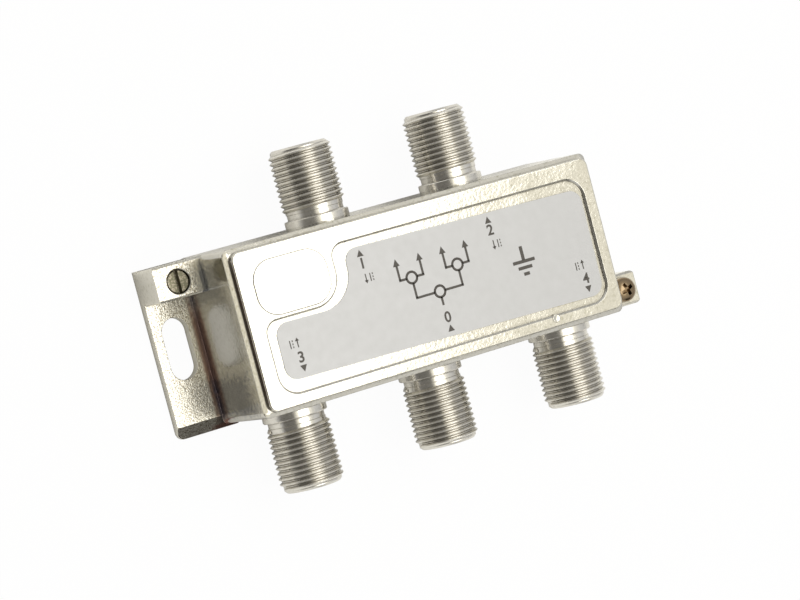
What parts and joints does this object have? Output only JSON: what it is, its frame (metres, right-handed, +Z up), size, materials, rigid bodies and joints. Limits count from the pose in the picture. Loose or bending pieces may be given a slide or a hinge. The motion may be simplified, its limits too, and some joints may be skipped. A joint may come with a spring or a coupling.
{
  "type": "coaxial splitter",
  "caption": "Flat die-cast coaxial splitter box: one threaded input and outputs on two long sides, a slotted mounting tab, an earth block with a set screw, and a screw lug.",
  "frame": {"origin": "middle of the case on the plane of its flat back", "axes": "+X along the case from the mounting tab to the screw lug, +Y out of the side with two ports, +Z up out of the printed face"},
  "size_m": [0.075, 0.0488, 0.0181],
  "materials": {
    "housing_plating": "satin nickel plating on a zinc die casting",
    "cover_steel": "bright tin-plated sheet steel",
    "label_film": "printed satin film",
    "board_laminate": "glass-filled laminate with solder mask",
    "set_screw_plating": "nickel-plated steel",
    "lug_screw_plating": "nickel-plated steel",
    "insulator_plastic": "moulded white acetal",
    "contact_brass": "tin-plated spring brass",
    "ferrite": "dark grey sintered ferrite",
    "enamelled_wire": "enamelled copper wire",
    "resistor_body": "black glazed ceramic",
    "capacitor_body": "tan ceramic",
    "choke_body": "ferrite with a moulded coat",
    "diode_body": "black moulded plastic"
  },
  "bodies": {
    "splitter": {"back_cover": "cover_steel", "balance_resistor_input": "resistor_body", "balance_resistor_left": "resistor_body", "balance_resistor_right": "resistor_body", "choke_1": "choke_body", "choke_2": "choke_body", "choke_3": "choke_body", "choke_4": "choke_body", "circuit_board": "board_laminate", "coupling_capacitor_1": "capacitor_body", "coupling_capacitor_2": "capacitor_body", "coupling_capacitor_3": "capacitor_body", "coupling_capacitor_4": "capacitor_body", "housing": "housing_plating", "label": "label_film", "match_core_input": "ferrite", "match_core_left": "ferrite", "match_core_right": "ferrite", "match_winding_input": "enamelled_wire", "match_winding_left": "enamelled_wire", "match_winding_right": "enamelled_wire", "port_contact_in": "contact_brass", "port_contact_out_1": "contact_brass", "port_contact_out_2": "contact_brass", "port_contact_out_3": "contact_brass", "port_contact_out_4": "contact_brass", "port_insulator_in": "insulator_plastic", "port_insulator_out_1": "insulator_plastic", "port_insulator_out_2": "insulator_plastic", "port_insulator_out_3": "insulator_plastic", "port_insulator_out_4": "insulator_plastic", "split_core_input": "ferrite", "split_core_left": "ferrite", "split_core_right": "ferrite", "split_winding_input": "enamelled_wire", "split_winding_left": "enamelled_wire", "split_winding_right": "enamelled_wire", "steering_diode_1": "diode_body", "steering_diode_2": "diode_body", "steering_diode_3": "diode_body", "steering_diode_4": "diode_body"},
    "block_screw": {"block_screw": "set_screw_plating"},
    "lug_screw": {"lug_screw": "lug_screw_plating"}
  },
  "joints": [
    {"name": "block_screw_travel", "type": "slide", "parent": "splitter", "child": "block_screw", "axis": [0, 0, 1], "range_m": [-0.0027, 0.002]},
    {"name": "lug_screw_travel", "type": "slide", "parent": "splitter", "child": "lug_screw", "axis": [0, 0, 1], "range_m": [-0.0001, 0.005]}
  ]
}
